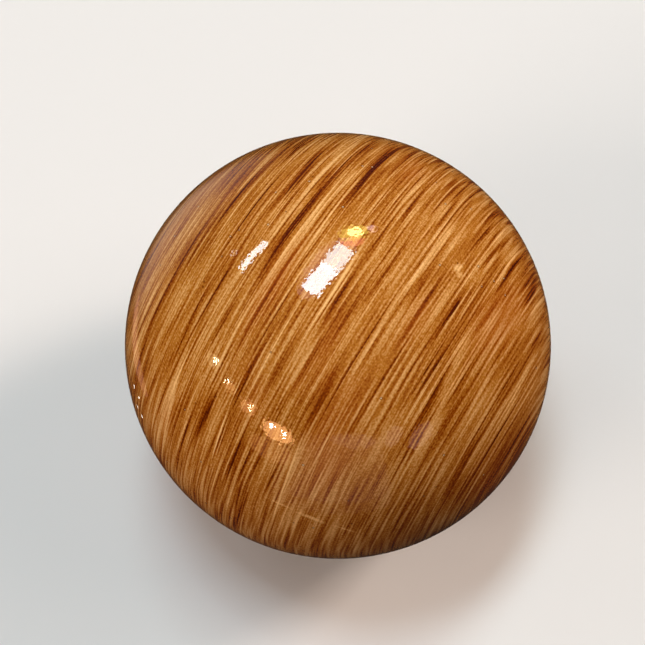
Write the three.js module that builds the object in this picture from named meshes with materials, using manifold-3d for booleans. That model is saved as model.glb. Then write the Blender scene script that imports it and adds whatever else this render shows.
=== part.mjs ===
// Friction ball for opening screw-back watch cases.
//
// A lacquered hardwood ball is the hand grip. Its underside is cut flat and carries a turned
// aluminium cup. One M5 pan-head screw with a spring washer pulls the cup against the ball, into
// a brass insert that is screwed into the wood. Three dowel pins carry the twist of the hand from
// the wood through the cup into the rubber friction pad, which is a push fit in the cup and pulls
// straight off for washing or renewal. Cup and pad carry on the round outline of the ball.
//
// Millimetres, +Z up along the axis of the ball. The origin is the centre of the pad's working
// face, on which the tool stands. The threads are drawn as rings of the thread's own profile.

import * as THREE from "three";
import { mergeVertices } from "three/addons/utils/BufferGeometryUtils.js";
import Module from "manifold-3d";

const wasm = await Module();
wasm.setup();

// Outline of the ball
const BALL_RADIUS = 32.5;
const FACE_RADIUS = 17; // flat working face of the pad
const BALL_CENTRE_Z = Math.sqrt(BALL_RADIUS ** 2 - FACE_RADIUS ** 2);
const SEAM_BREAK = 0.3; // broken edge on each side of a seam

// Rubber pad
const PAD_SHOULDER_Z = 4.6; // where the pad meets the cup
const PAD_EDGE_ROUND = 1.1;
const PLUG_RADIUS = 17.8;
const PLUG_TOP_Z = 7.6;
const PLUG_CHAMFER = 0.6;
const DISH_RADIUS = 7;
const DISH_DEPTH = 0.9;
const AIR_GROOVE_RADII = [9.8, 13.2];
const AIR_GROOVE_HALF_WIDTH = 0.45;
const AIR_GROOVE_DEPTH = 0.7;

// Aluminium cup
const CUP_SEAT_Z = 6.4; // where the cup meets the wood
const SOCKET_RADIUS = 18.1;
const SOCKET_TOP_Z = 7.7;
const SPIGOT_RADIUS = 20.5;
const SPIGOT_TOP_Z = 10;
const BOSS_RADIUS = 9;
const BOSS_TOP_Z = 14;
const SCREW_POCKET_RADIUS = 5.6;
const SCREW_SEAT_Z = 12;
const SCREW_HOLE_RADIUS = 2.75;

// M5 screw with a pan head and a split spring washer
const WASHER_THICKNESS = 1.2;
const WASHER_INNER_RADIUS = 2.6;
const WASHER_OUTER_RADIUS = 4.6;
const WASHER_GAP_ANGLE = 0.28;
const HEAD_RADIUS = 4.75;
const HEAD_HEIGHT = 3;
const HEAD_ROUND = 1.3;
const SCREW_LENGTH = 16;
const THREAD_PITCH = 0.8;
const THREAD_MAJOR_RADIUS = 2.45;
const THREAD_DEPTH = 0.45;
const RECESS_WIDTH = 1.1;
const RECESS_SPAN = 5;
const RECESS_DEPTH = 2;

// Brass insert in the wood
const INSERT_BOTTOM_Z = 14.4;
const INSERT_LENGTH = 12;
const INSERT_RADIUS = 5;
const INSERT_THREAD_DEPTH = 0.7;
const INSERT_THREAD_PITCH = 2.4;
const INSERT_SLOT_WIDTH = 1.3;
const INSERT_SLOT_DEPTH = 1.6;
const THREAD_CLEARANCE = 0.12;

// Dowel pins
const PIN_COUNT = 3;
const PIN_CIRCLE_RADIUS = 13.5;
const PIN_RADIUS = 1.5;
const PIN_BOTTOM_Z = 5.6;
const PIN_LENGTH = 10;
const PIN_CHAMFER = 0.35;

// Clearances between pieces that don't touch
const WOOD_CLEARANCE = 0.3;
const PIN_HOLE_CLEARANCE = 0.06;
const PAD_HOLE_CLEARANCE = 0.3;

// How finely round shapes are cut
const BODY_SEGMENTS = 48;
const SMALL_SEGMENTS = 24;
const PIN_SEGMENTS = 16;
const LOWER_ARC_STEPS = 8;
const UPPER_ARC_STEPS = 12;

const wood = new THREE.MeshStandardMaterial({ color: 0xb4712f, roughness: 0.12, metalness: 0 });
const rubber = new THREE.MeshStandardMaterial({ color: 0x23211f, roughness: 0.7, metalness: 0 });
const aluminium = new THREE.MeshStandardMaterial({ color: 0xc9cbce, roughness: 0.3, metalness: 1 });
const brass = new THREE.MeshStandardMaterial({ color: 0xc49a4a, roughness: 0.35, metalness: 1 });
const steel = new THREE.MeshStandardMaterial({ color: 0x9ea1a4, roughness: 0.3, metalness: 1 });

const point = (radius, z) => new THREE.Vector2(radius, z);
const outlineRadius = (z) => Math.sqrt(BALL_RADIUS ** 2 - (z - BALL_CENTRE_Z) ** 2);

// Stretch of the ball's round outline between two heights.
function outline(fromZ, toZ, steps) {
  const from = Math.asin((fromZ - BALL_CENTRE_Z) / BALL_RADIUS);
  const to = Math.asin((toZ - BALL_CENTRE_Z) / BALL_RADIUS);
  return Array.from({ length: steps + 1 }, (_, i) => {
    const angle = from + ((to - from) * i) / steps;
    return point(BALL_RADIUS * Math.cos(angle), BALL_CENTRE_Z + BALL_RADIUS * Math.sin(angle));
  });
}

// Rounded corner between two points of a profile.
function corner(start, tip, end, steps) {
  return new THREE.QuadraticBezierCurve(start, tip, end).getPoints(steps);
}

// Flanks of a thread as a profile: it swings between the root and the crest once in each pitch.
function threadFlanks(crest, root, pitch, fromZ, toZ) {
  const halfTurns = Math.round((2 * (toZ - fromZ)) / pitch);
  return Array.from({ length: halfTurns + 1 }, (_, i) =>
    point(i % 2 ? crest : root, fromZ + (i * (toZ - fromZ)) / halfTurns),
  );
}

// Body of revolution about Z from a profile of (radius, z) points that runs with its material on
// the left: up the outside, and down the inside.
function turned(profile, segments) {
  return new THREE.LatheGeometry(profile, segments).rotateX(Math.PI / 2);
}

function solidOf(geometry) {
  const bare = geometry.clone();
  bare.deleteAttribute("normal");
  bare.deleteAttribute("uv");
  const merged = mergeVertices(bare, 1e-4);
  return new wasm.Manifold(
    new wasm.Mesh({
      numProp: 3,
      vertProperties: merged.attributes.position.array,
      triVerts: new Uint32Array(merged.index.array),
    }),
  );
}

function geometryOf(solid) {
  const mesh = solid.getMesh();
  const geometry = new THREE.BufferGeometry();
  geometry.setAttribute("position", new THREE.BufferAttribute(mesh.vertProperties, 3));
  geometry.setIndex(new THREE.BufferAttribute(mesh.triVerts, 1));
  geometry.computeVertexNormals();
  return geometry;
}

// Cuts each tool out of a geometry.
function cut(geometry, tools) {
  const result = tools.reduce((solid, tool) => solid.subtract(solidOf(tool)), solidOf(geometry));
  return geometryOf(result);
}

const pinPlaces = Array.from({ length: PIN_COUNT }, (_, i) => {
  const angle = Math.PI / 2 + (i * 2 * Math.PI) / PIN_COUNT;
  return { x: PIN_CIRCLE_RADIUS * Math.cos(angle), y: PIN_CIRCLE_RADIUS * Math.sin(angle) };
});

// Drills for the three pins, from one height to another.
function pinDrills(radius, fromZ, toZ) {
  return pinPlaces.map(({ x, y }) =>
    new THREE.CylinderGeometry(radius, radius, toZ - fromZ, PIN_SEGMENTS)
      .rotateX(Math.PI / 2)
      .translate(x, y, (fromZ + toZ) / 2),
  );
}

// Wooden grip: the outline of the ball down to the seat of the cup, with a stepped pocket that
// takes the cup's spigot and boss, and a drilled hole for the insert.
function ballGrip() {
  const edgeRadius = outlineRadius(CUP_SEAT_Z);
  const spigotPocket = SPIGOT_RADIUS + WOOD_CLEARANCE;
  const bossPocket = BOSS_RADIUS + WOOD_CLEARANCE;
  const holeRadius = INSERT_RADIUS + THREAD_CLEARANCE;
  const holeTop = INSERT_BOTTOM_Z + INSERT_LENGTH + 1.5;
  const drillPoint = holeRadius * Math.tan(Math.PI / 6);
  const profile = [
    point(0, holeTop + drillPoint),
    point(holeRadius, holeTop),
    point(holeRadius, BOSS_TOP_Z + WOOD_CLEARANCE),
    point(bossPocket, BOSS_TOP_Z + WOOD_CLEARANCE),
    point(bossPocket, SPIGOT_TOP_Z + WOOD_CLEARANCE),
    point(spigotPocket, SPIGOT_TOP_Z + WOOD_CLEARANCE),
    point(spigotPocket, CUP_SEAT_Z),
    point(edgeRadius - 2 * SEAM_BREAK, CUP_SEAT_Z),
    ...outline(CUP_SEAT_Z + SEAM_BREAK, BALL_CENTRE_Z, LOWER_ARC_STEPS),
    ...outline(BALL_CENTRE_Z, BALL_CENTRE_Z + BALL_RADIUS, UPPER_ARC_STEPS).slice(1, -1),
    point(0, BALL_CENTRE_Z + BALL_RADIUS),
  ];
  const drills = pinDrills(
    PIN_RADIUS + PIN_HOLE_CLEARANCE,
    SPIGOT_TOP_Z - 1,
    PIN_BOTTOM_Z + PIN_LENGTH + WOOD_CLEARANCE,
  );
  return cut(turned(profile, BODY_SEGMENTS), drills);
}

// Aluminium cup: a rim that shows as a thin ring on the outline, a spigot and a boss that centre
// it in the wood, a socket for the pad's plug and a pocket for the screw head.
function padCup() {
  const rimTop = outlineRadius(CUP_SEAT_Z);
  const rimBottom = outlineRadius(PAD_SHOULDER_Z);
  const profile = [
    point(SOCKET_RADIUS, PAD_SHOULDER_Z),
    point(rimBottom - 2 * SEAM_BREAK, PAD_SHOULDER_Z),
    ...outline(PAD_SHOULDER_Z + SEAM_BREAK, CUP_SEAT_Z - SEAM_BREAK, 2),
    point(rimTop - 2 * SEAM_BREAK, CUP_SEAT_Z),
    point(SPIGOT_RADIUS, CUP_SEAT_Z),
    point(SPIGOT_RADIUS, SPIGOT_TOP_Z - SEAM_BREAK),
    point(SPIGOT_RADIUS - SEAM_BREAK, SPIGOT_TOP_Z),
    point(BOSS_RADIUS, SPIGOT_TOP_Z),
    point(BOSS_RADIUS, BOSS_TOP_Z - SEAM_BREAK),
    point(BOSS_RADIUS - SEAM_BREAK, BOSS_TOP_Z),
    point(SCREW_HOLE_RADIUS, BOSS_TOP_Z),
    point(SCREW_HOLE_RADIUS, SCREW_SEAT_Z),
    point(SCREW_POCKET_RADIUS, SCREW_SEAT_Z),
    point(SCREW_POCKET_RADIUS, SOCKET_TOP_Z),
    point(SOCKET_RADIUS, SOCKET_TOP_Z),
    point(SOCKET_RADIUS, PAD_SHOULDER_Z),
  ];
  const drills = pinDrills(PIN_RADIUS + PIN_HOLE_CLEARANCE, SOCKET_TOP_Z - 1, SPIGOT_TOP_Z + 1);
  return cut(turned(profile, BODY_SEGMENTS), drills);
}

// Rubber pad: a flat working face with a shallow dish and two air grooves, a side that carries on
// the ball's outline, and a plug with three blind holes that slip over the pins.
function frictionPad() {
  const shoulderRadius = outlineRadius(PAD_SHOULDER_Z);
  const dish = corner(point(0, DISH_DEPTH), point(DISH_RADIUS * 0.6, DISH_DEPTH), point(DISH_RADIUS, 0), 4);
  const grooves = AIR_GROOVE_RADII.flatMap((radius) => [
    point(radius - AIR_GROOVE_HALF_WIDTH, 0),
    point(radius - AIR_GROOVE_HALF_WIDTH / 2, AIR_GROOVE_DEPTH),
    point(radius + AIR_GROOVE_HALF_WIDTH / 2, AIR_GROOVE_DEPTH),
    point(radius + AIR_GROOVE_HALF_WIDTH, 0),
  ]);
  const edge = corner(
    point(FACE_RADIUS - PAD_EDGE_ROUND, 0),
    point(FACE_RADIUS, 0),
    point(outlineRadius(PAD_EDGE_ROUND), PAD_EDGE_ROUND),
    3,
  );
  const profile = [
    ...dish,
    ...grooves,
    ...edge.slice(0, -1),
    ...outline(PAD_EDGE_ROUND, PAD_SHOULDER_Z - SEAM_BREAK, 4),
    point(shoulderRadius - 2 * SEAM_BREAK, PAD_SHOULDER_Z),
    point(PLUG_RADIUS, PAD_SHOULDER_Z),
    point(PLUG_RADIUS, PLUG_TOP_Z - PLUG_CHAMFER),
    point(PLUG_RADIUS - PLUG_CHAMFER, PLUG_TOP_Z),
    point(0, PLUG_TOP_Z),
  ];
  const drills = pinDrills(
    PIN_RADIUS + PAD_HOLE_CLEARANCE,
    PIN_BOTTOM_Z - PAD_HOLE_CLEARANCE,
    PLUG_TOP_Z + 1,
  );
  return cut(turned(profile, BODY_SEGMENTS), drills);
}

// Split spring washer: a flat ring with a gap towards +Y, which a real one closes when tightened.
function springWasher() {
  const half = WASHER_GAP_ANGLE / 2;
  const ring = new THREE.Shape();
  ring.absarc(0, 0, WASHER_OUTER_RADIUS, half, 2 * Math.PI - half, false);
  ring.absarc(0, 0, WASHER_INNER_RADIUS, 2 * Math.PI - half, half, true);
  ring.closePath();
  return new THREE.ExtrudeGeometry(ring, {
    depth: WASHER_THICKNESS,
    bevelEnabled: false,
    curveSegments: SMALL_SEGMENTS,
  })
    .rotateZ(Math.PI / 2)
    .translate(0, 0, SCREW_SEAT_Z - WASHER_THICKNESS);
}

// Pan-head screw, head down, with a cross recess.
function cupScrew() {
  const underHead = SCREW_SEAT_Z - WASHER_THICKNESS;
  const headBottom = underHead - HEAD_HEIGHT;
  const tip = underHead + SCREW_LENGTH;
  const root = THREAD_MAJOR_RADIUS - THREAD_DEPTH;
  const threadStart = INSERT_BOTTOM_Z - THREAD_PITCH;
  const threadEnd = threadStart + 16 * THREAD_PITCH;
  const profile = [
    point(0, headBottom),
    ...corner(
      point(HEAD_RADIUS - HEAD_ROUND, headBottom),
      point(HEAD_RADIUS, headBottom),
      point(HEAD_RADIUS, headBottom + HEAD_ROUND),
      3,
    ),
    point(HEAD_RADIUS, underHead),
    point(THREAD_MAJOR_RADIUS, underHead),
    point(THREAD_MAJOR_RADIUS, threadStart - THREAD_PITCH / 2),
    ...threadFlanks(THREAD_MAJOR_RADIUS, root, THREAD_PITCH, threadStart, threadEnd),
    point(root - SEAM_BREAK, tip),
    point(0, tip),
  ];
  const arm = new THREE.BoxGeometry(RECESS_SPAN, RECESS_WIDTH, 2 * RECESS_DEPTH);
  arm.translate(0, 0, headBottom);
  return cut(turned(profile, SMALL_SEGMENTS), [arm, arm.clone().rotateZ(Math.PI / 2)]);
}

// Brass insert: a coarse outer thread for the wood, an M5 thread inside and a driver slot.
function threadInsert() {
  const bottom = INSERT_BOTTOM_Z;
  const top = bottom + INSERT_LENGTH;
  const outerRoot = INSERT_RADIUS - INSERT_THREAD_DEPTH;
  const innerCrest = THREAD_MAJOR_RADIUS - THREAD_DEPTH + THREAD_CLEARANCE;
  const innerRoot = THREAD_MAJOR_RADIUS + THREAD_CLEARANCE;
  const inside = threadFlanks(innerRoot, innerCrest, THREAD_PITCH, bottom, top);
  const profile = [
    inside[0],
    ...threadFlanks(INSERT_RADIUS, outerRoot, INSERT_THREAD_PITCH, bottom, top),
    ...inside.reverse(),
  ];
  const slot = new THREE.BoxGeometry(3 * INSERT_RADIUS, INSERT_SLOT_WIDTH, 2 * INSERT_SLOT_DEPTH);
  return cut(turned(profile, SMALL_SEGMENTS), [slot.translate(0, 0, bottom)]);
}

// Hardened dowel pin, modelled about its own middle.
function dowelPin() {
  const half = PIN_LENGTH / 2;
  const profile = [
    point(0, -half),
    point(PIN_RADIUS - PIN_CHAMFER, -half),
    point(PIN_RADIUS, -half + PIN_CHAMFER),
    point(PIN_RADIUS, half - PIN_CHAMFER),
    point(PIN_RADIUS - PIN_CHAMFER, half),
    point(0, half),
  ];
  return turned(profile, PIN_SEGMENTS);
}

function named(name, geometry, material) {
  const mesh = new THREE.Mesh(geometry, material);
  mesh.name = name;
  return mesh;
}

// What the hand holds: everything that turns with the ball.
const handle = new THREE.Group();
handle.add(
  named("ball_grip", ballGrip(), wood),
  named("thread_insert", threadInsert(), brass),
  named("pad_cup", padCup(), aluminium),
  named("spring_washer", springWasher(), steel),
  named("cup_screw", cupScrew(), steel),
);
pinPlaces.forEach(({ x, y }, i) => {
  const pin = named(`drive_pin_${i + 1}`, dowelPin(), steel);
  pin.position.set(x, y, PIN_BOTTOM_Z + PIN_LENGTH / 2);
  handle.add(pin);
});

const frictionBall = new THREE.Group();
frictionBall.add(handle, named("friction_pad", frictionPad(), rubber));

export default frictionBall;
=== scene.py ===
"""Friction ball for opening screw-back watch cases: its finished looks, built around the CAD frame.

A lacquered hardwood ball is the grip. Under it a turned aluminium cup, held by one screw and three
dowel pins, carries a rubber pad that pulls off. Metres, +Z up the ball's axis, the pad's face at 0.
"""

import math

import bmesh
import bpy
from mathutils import Matrix, Vector


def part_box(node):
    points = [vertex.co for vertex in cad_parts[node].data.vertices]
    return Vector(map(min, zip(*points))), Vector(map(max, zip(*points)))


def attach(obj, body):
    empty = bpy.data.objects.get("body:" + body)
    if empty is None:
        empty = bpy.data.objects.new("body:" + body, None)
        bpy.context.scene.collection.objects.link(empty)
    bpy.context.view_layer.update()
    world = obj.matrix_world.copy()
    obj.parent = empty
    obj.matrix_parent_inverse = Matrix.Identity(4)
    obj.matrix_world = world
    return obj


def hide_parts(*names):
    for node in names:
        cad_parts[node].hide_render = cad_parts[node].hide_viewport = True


bl_info = {
    "name": "Watch case friction ball",
    "version": (1, 0, 0),
    "blender": (4, 5, 0),
    "location": "3D View > Sidebar > Friction ball",
    "description": "Builds a lacquered wooden friction ball with its cup, pad and fixings",
    "category": "Add Mesh",
}

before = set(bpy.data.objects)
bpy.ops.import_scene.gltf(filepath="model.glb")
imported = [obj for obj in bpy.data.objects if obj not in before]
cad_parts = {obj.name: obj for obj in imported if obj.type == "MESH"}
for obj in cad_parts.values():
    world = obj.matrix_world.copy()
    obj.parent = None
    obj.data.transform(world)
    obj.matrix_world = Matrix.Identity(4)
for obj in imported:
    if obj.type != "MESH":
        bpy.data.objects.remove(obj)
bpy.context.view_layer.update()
MM = 0.001
WELD = 0.0005 * MM  # points closer than this are one
ROUNDING_STEPS = 4
ROUND_STEPS = 160  # steps round the pad and the cup
DRILL_POINT = math.radians(30)  # a twist drill's point rises at this angle


class Span:
    """Where a turned CAD node lies: its bottom, top, middle and greatest radius."""

    def __init__(self, node):
        low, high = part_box(node)
        self.bottom, self.top = low.z, high.z
        self.middle = (low + high) / 2
        self.radius = (high.x - low.x) / 2


GRIP, PAD, CUP = Span("ball_grip"), Span("friction_pad"), Span("pad_cup")
SCREW, WASHER, INSERT = Span("cup_screw"), Span("spring_washer"), Span("thread_insert")
PIN_NODES = sorted(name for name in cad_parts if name.startswith("drive_pin"))
PINS = [Span(name) for name in PIN_NODES]
BALL_RADIUS = GRIP.radius
BALL_CENTRE = Vector((0, 0, GRIP.top - GRIP.radius))


def linear(hex_colour):
    """An sRGB hex colour as linear RGBA."""
    shares = [int(hex_colour[i : i + 2], 16) / 255 for i in (1, 3, 5)]
    return [c / 12.92 if c <= 0.04045 else ((c + 0.055) / 1.055) ** 2.4 for c in shares] + [1.0]


def length_setting(name, description, default):
    return bpy.props.FloatProperty(
        name=name, description=description, default=default, min=0.0, precision=5, unit="LENGTH"
    )


def angle_setting(name, description, degrees):
    return bpy.props.FloatProperty(
        name=name, description=description, default=math.radians(degrees), subtype="ANGLE"
    )


def colour_setting(name, description, hex_colour):
    return bpy.props.FloatVectorProperty(
        name=name, description=description, default=linear(hex_colour), size=4, subtype="COLOR"
    )


def share_setting(name, description, default):
    return bpy.props.FloatProperty(
        name=name, description=description, default=default, min=0.0, max=1.0, subtype="FACTOR"
    )


class GripSettings(bpy.types.PropertyGroup):
    """Sizes and finish of the wooden ball."""

    segments: bpy.props.IntProperty(
        name="Segments", description="Steps round the ball", default=192, min=32, max=512
    )
    edge_round: length_setting("Edge round", "Softened edge at the seam", 0.45 * MM)
    clearance: length_setting("Clearance", "Gap between the wood and the cup", 0.3 * MM)
    drill_run_out: length_setting("Drill run-out", "Depth of the bore past the insert", 1.5 * MM)
    dark: colour_setting("Dark streaks", "Stained pores", "#4e1400")
    brown: colour_setting("Brown lines", "Late wood", "#8a3c00")
    middle: colour_setting("Middle tone", "The stained wood's main colour", "#b87124")
    pale: colour_setting("Pale streaks", "Hard wood that took little stain", "#fcc480")
    red: colour_setting("Red patches", "Redder heartwood", "#b4511a")
    # Pale dust specks, drawn bright as painted highlights
    speck: colour_setting("Specks", "Dust dried into the lacquer", "#f0d4a8")
    lacquer_roughness: share_setting("Lacquer roughness", "Blur of the lacquer's reflections", 0.03)
    orange_peel: length_setting("Orange peel", "Height of the ripples in the lacquer", 0.006 * MM)
    dust: length_setting("Dust", "Height of the dust nibs dried into the lacquer", 0.007 * MM)


class PadSettings(bpy.types.PropertyGroup):
    """Sizes and colour of the rubber pad."""

    face_radius: length_setting("Face radius", "Flat working face with its rounded edge", 17 * MM)
    edge_round: length_setting("Edge round", "Rounded edge of the working face", 1.1 * MM)
    dish_radius: length_setting("Dish radius", "Shallow dish in the working face", 7 * MM)
    dish_depth: length_setting("Dish depth", "Depth of the dish", 0.9 * MM)
    groove_width: length_setting("Groove width", "Width of an air groove at its mouth", 0.9 * MM)
    groove_depth: length_setting("Groove depth", "Depth of an air groove", 0.7 * MM)
    plug_radius: length_setting("Plug radius", "Plug that goes into the cup", 17.8 * MM)
    inner_groove: length_setting("Inner groove", "Radius of the inner air groove", 9.8 * MM)
    outer_groove: length_setting("Outer groove", "Radius of the outer air groove", 13.2 * MM)
    rib_height: length_setting("Rib height", "How far the gripping ribs stand off the plug", 0.2 * MM)
    rib_half_width: length_setting("Rib half width", "Half the width of a rib's foot", 0.3 * MM)
    first_rib: length_setting("First rib", "From the shoulder to the first rib", 1.0 * MM)
    second_rib: length_setting("Second rib", "From the shoulder to the second rib", 1.9 * MM)
    pin_clearance: length_setting("Pin clearance", "Gap round a pin in the rubber", 0.3 * MM)
    rubber: colour_setting("Rubber", "Colour of the rubber", "#2b2826")


class CupSettings(bpy.types.PropertyGroup):
    """Sizes and colour of the aluminium cup."""

    socket_radius: length_setting("Socket radius", "Socket for the pad's plug", 18.1 * MM)
    socket_depth: length_setting("Socket depth", "Depth of the socket below the rim", 3.1 * MM)
    spigot_radius: length_setting("Spigot radius", "Spigot that centres the cup", 20.5 * MM)
    spigot_height: length_setting("Spigot height", "From the socket's floor to its top", 2.3 * MM)
    boss_radius: length_setting("Boss radius", "Central boss", 9 * MM)
    screw_hole: length_setting("Screw hole radius", "Clearance hole for the screw", 2.75 * MM)
    screw_pocket: length_setting("Screw pocket radius", "Pocket round the screw head", 5.6 * MM)
    edge_break: length_setting("Edge break", "Chamfers left by the lathe tool", 0.2 * MM)
    aluminium: colour_setting("Aluminium", "Clear anodised aluminium", "#cfd0d1")


class FixingSettings(bpy.types.PropertyGroup):
    """Threads and metals of the screw, washer, insert and pins."""

    pitch: length_setting("Screw pitch", "Pitch of the screw's thread", 0.8 * MM)
    thread_radius: length_setting("Thread radius", "Crest of the screw's thread", 2.45 * MM)
    thread_depth: length_setting("Thread depth", "From crest to root", 0.45 * MM)
    wood_pitch: length_setting("Wood thread pitch", "Pitch of the insert's outer thread", 2.4 * MM)
    wood_depth: length_setting("Wood thread depth", "Depth of the insert's outer thread", 0.7 * MM)
    clearance: length_setting("Thread clearance", "Gap between the two threads", 0.12 * MM)
    recess_length: length_setting("Recess length", "Across the arms of the cross recess", 5.0 * MM)
    recess_width: length_setting("Recess width", "Width of an arm at the head's face", 1.1 * MM)
    recess_depth: length_setting("Recess depth", "Depth of the cross recess", 2.0 * MM)
    slot_width: length_setting("Slot width", "Width of the insert's driver slot", 1.3 * MM)
    slot_depth: length_setting("Slot depth", "Depth of the insert's driver slot", 1.6 * MM)
    washer_bore: length_setting("Washer bore radius", "Inside of the spring washer", 2.6 * MM)
    washer_gap: length_setting("Washer gap", "Width of the cut through the spring washer", 0.5 * MM)
    washer_slant: angle_setting("Washer slant", "Lean of the cut through the washer", 35)
    pin_clearance: length_setting("Pin clearance", "Gap round a pin in the cup and wood", 0.06 * MM)
    steel: colour_setting("Steel", "Bright zinc on steel", "#c3c6ca")
    pin_steel: colour_setting("Pin steel", "Hardened and ground steel", "#b4b2ae")
    brass: colour_setting("Brass", "Machined brass", "#d8ab5c")


class StudioSettings(bpy.types.PropertyGroup):
    """Camera, floor and light."""

    elevation: angle_setting("Camera elevation", "Angle of the camera above the floor", 66)
    distance: length_setting("Camera distance", "From the middle of the ball", 0.2346)
    lens: bpy.props.FloatProperty(
        name="Lens", description="Focal length", default=85.0, unit="CAMERA"
    )
    floor: colour_setting("Floor", "Pale matt studio board", "#e0dddd")
    backdrop: colour_setting("Backdrop", "What the camera sees past the floor", "#f4f3f1")
    room: colour_setting("Room", "Tint of the light that fills the shadows", "#fff4ea")
    room_dim: share_setting("Dim room", "Radiance of the room where it is darkest", 0.02)
    room_overhead: share_setting("Overhead", "Radiance that the room adds overhead", 0.10)
    room_side: share_setting("Pale side", "Radiance added low behind the ball on its left", 0.50)
    backdrop_level: share_setting("Backdrop level", "Radiance of the backdrop", 0.9)
    floor_radius: length_setting("Floor radius", "Radius of the round studio floor", 4.0)


# ---- Mesh work ----


def arc(centre_z, radius, from_z, to_z, steps):
    """Points (radius, height) along a circle about a centre on the axis, between two heights."""
    start = math.asin(max(-1.0, min(1.0, (from_z - centre_z) / radius)))
    end = math.asin(max(-1.0, min(1.0, (to_z - centre_z) / radius)))
    angles = [start + (end - start) * i / steps for i in range(steps + 1)]
    return [(radius * math.cos(a), centre_z + radius * math.sin(a)) for a in angles]


def outline_radius(height):
    """Radius of the ball's round outline at a height."""
    return math.sqrt(BALL_RADIUS**2 - (height - BALL_CENTRE.z) ** 2)


def turn(outline, segments, ring=False):
    """Spins an outline of (radius, height) or (radius, height, rounding) corners about the axis.

    A ring's outline closes on itself; any other starts and ends on the axis.
    """
    bm = bmesh.new()
    corners = [bm.verts.new((point[0], 0, point[1])) for point in outline]
    pairs = list(zip(corners, corners[1:] + corners[:1]))
    for pair in pairs if ring else pairs[:-1]:
        bm.edges.new(pair)
    for rounding in sorted({point[2] for point in outline if len(point) > 2}):
        soft = [v for v, point in zip(corners, outline) if point[2:] == (rounding,)]
        bmesh.ops.bevel(
            bm, geom=soft, offset=rounding, offset_type="OFFSET", affect="VERTICES",
            segments=ROUNDING_STEPS, profile=0.5, material=-1,
        )
    bmesh.ops.spin(
        bm, geom=bm.verts[:] + bm.edges[:], cent=(0, 0, 0), axis=(0, 0, 1), dvec=(0, 0, 0),
        angle=2 * math.pi, steps=segments, use_merge=True, use_duplicate=False,
    )
    return closed(bm)


def closed(bm):
    """Welds seams and poles and turns every face outwards."""
    bmesh.ops.remove_doubles(bm, verts=bm.verts[:], dist=WELD)
    bmesh.ops.recalc_face_normals(bm, faces=bm.faces[:])
    if bm.calc_volume(signed=True) < 0:
        bmesh.ops.reverse_faces(bm, faces=bm.faces[:])
    return bm


def threaded_rod(crest, root, pitch, bottom, top, segments=32):
    """A rod with a right-hand thread that runs at least one turn past both ends.

    One outline of whole pitches is spun once round while it climbs one pitch, so that its turns
    join. Both spiral ends are then drawn in to a point on the axis.
    """
    bm = bmesh.new()
    # One pitch of the thread: shares of the pitch along the rod, and radii
    profile = [(0, root), (1 / 8, root), (7 / 16, crest), (9 / 16, crest), (7 / 8, root)]
    turns = math.ceil((top - bottom) / pitch) + 2
    start = bottom - pitch
    finish_height = start + (turns + 1) * pitch
    corners = [
        bm.verts.new((radius, 0, start + (i + share) * pitch))
        for i in range(turns)
        for share, radius in profile
    ]
    corners.append(bm.verts.new((root, 0, start + turns * pitch)))
    for pair in zip(corners, corners[1:]):
        bm.edges.new(pair)
    bmesh.ops.spin(
        bm, geom=bm.verts[:] + bm.edges[:], cent=(0, 0, 0), axis=(0, 0, 1),
        dvec=(0, 0, pitch / segments), angle=2 * math.pi, steps=segments, use_duplicate=False,
    )
    bmesh.ops.remove_doubles(bm, verts=bm.verts[:], dist=WELD)
    middle = (bottom + top) / 2
    for height in (start, finish_height):
        upper = height > middle
        rim = [e for e in bm.edges if e.is_boundary and (e.verts[0].co.z > middle) == upper]
        drawn = bmesh.ops.extrude_edge_only(bm, edges=rim)["geom"]
        tips = [v for v in drawn if isinstance(v, bmesh.types.BMVert)]
        bmesh.ops.pointmerge(bm, verts=tips, merge_co=(0, 0, height))
    return closed(bm)


def block(size, place, turned=0.0):
    """A closed box of a size (x, y, z), turned about the vertical and moved to its place."""
    bm = bmesh.new()
    bmesh.ops.create_cube(bm, size=1.0)
    bmesh.ops.scale(bm, vec=size, verts=bm.verts[:])
    bmesh.ops.rotate(bm, cent=(0, 0, 0), matrix=Matrix.Rotation(turned, 3, "Z"), verts=bm.verts[:])
    bmesh.ops.translate(bm, vec=place, verts=bm.verts[:])
    return bm


def as_object(name, bm):
    """Makes an object at the origin from a bmesh."""
    mesh = bpy.data.meshes.new(name)
    bm.to_mesh(mesh)
    bm.free()
    made = bpy.data.objects.new(name, mesh)
    bpy.context.scene.collection.objects.link(made)
    return made


def shape(piece, operation, *tools):
    """Joins, intersects or cuts a piece with each tool in turn, then drops the tools."""
    for tool in tools:
        boolean = piece.modifiers.new("shape", "BOOLEAN")
        boolean.operation, boolean.solver, boolean.object = operation, "EXACT", tool
    graph = bpy.context.evaluated_depsgraph_get()
    shaped = bpy.data.meshes.new_from_object(piece.evaluated_get(graph))
    piece.modifiers.clear()
    rough, piece.data = piece.data, shaped
    bpy.data.meshes.remove(rough)
    for tool in tools:
        mesh = tool.data
        bpy.data.objects.remove(tool)
        bpy.data.meshes.remove(mesh)
    if not shaped.polygons:
        raise RuntimeError(f"shaping {piece.name} left nothing of it")
    return piece


def pin_drills(radius, bottom, top):
    """Cutters for the holes that the pins go in, between two heights."""
    drills = []
    for pin in PINS:
        bm = turn([(0, bottom), (radius, bottom), (radius, top), (0, top)], 32)
        bmesh.ops.translate(bm, vec=(pin.middle.x, pin.middle.y, 0), verts=bm.verts[:])
        drills.append(as_object("drill", bm))
    return drills


CREASE = math.radians(32)  # faces that meet at a greater angle keep a sharp edge


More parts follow.
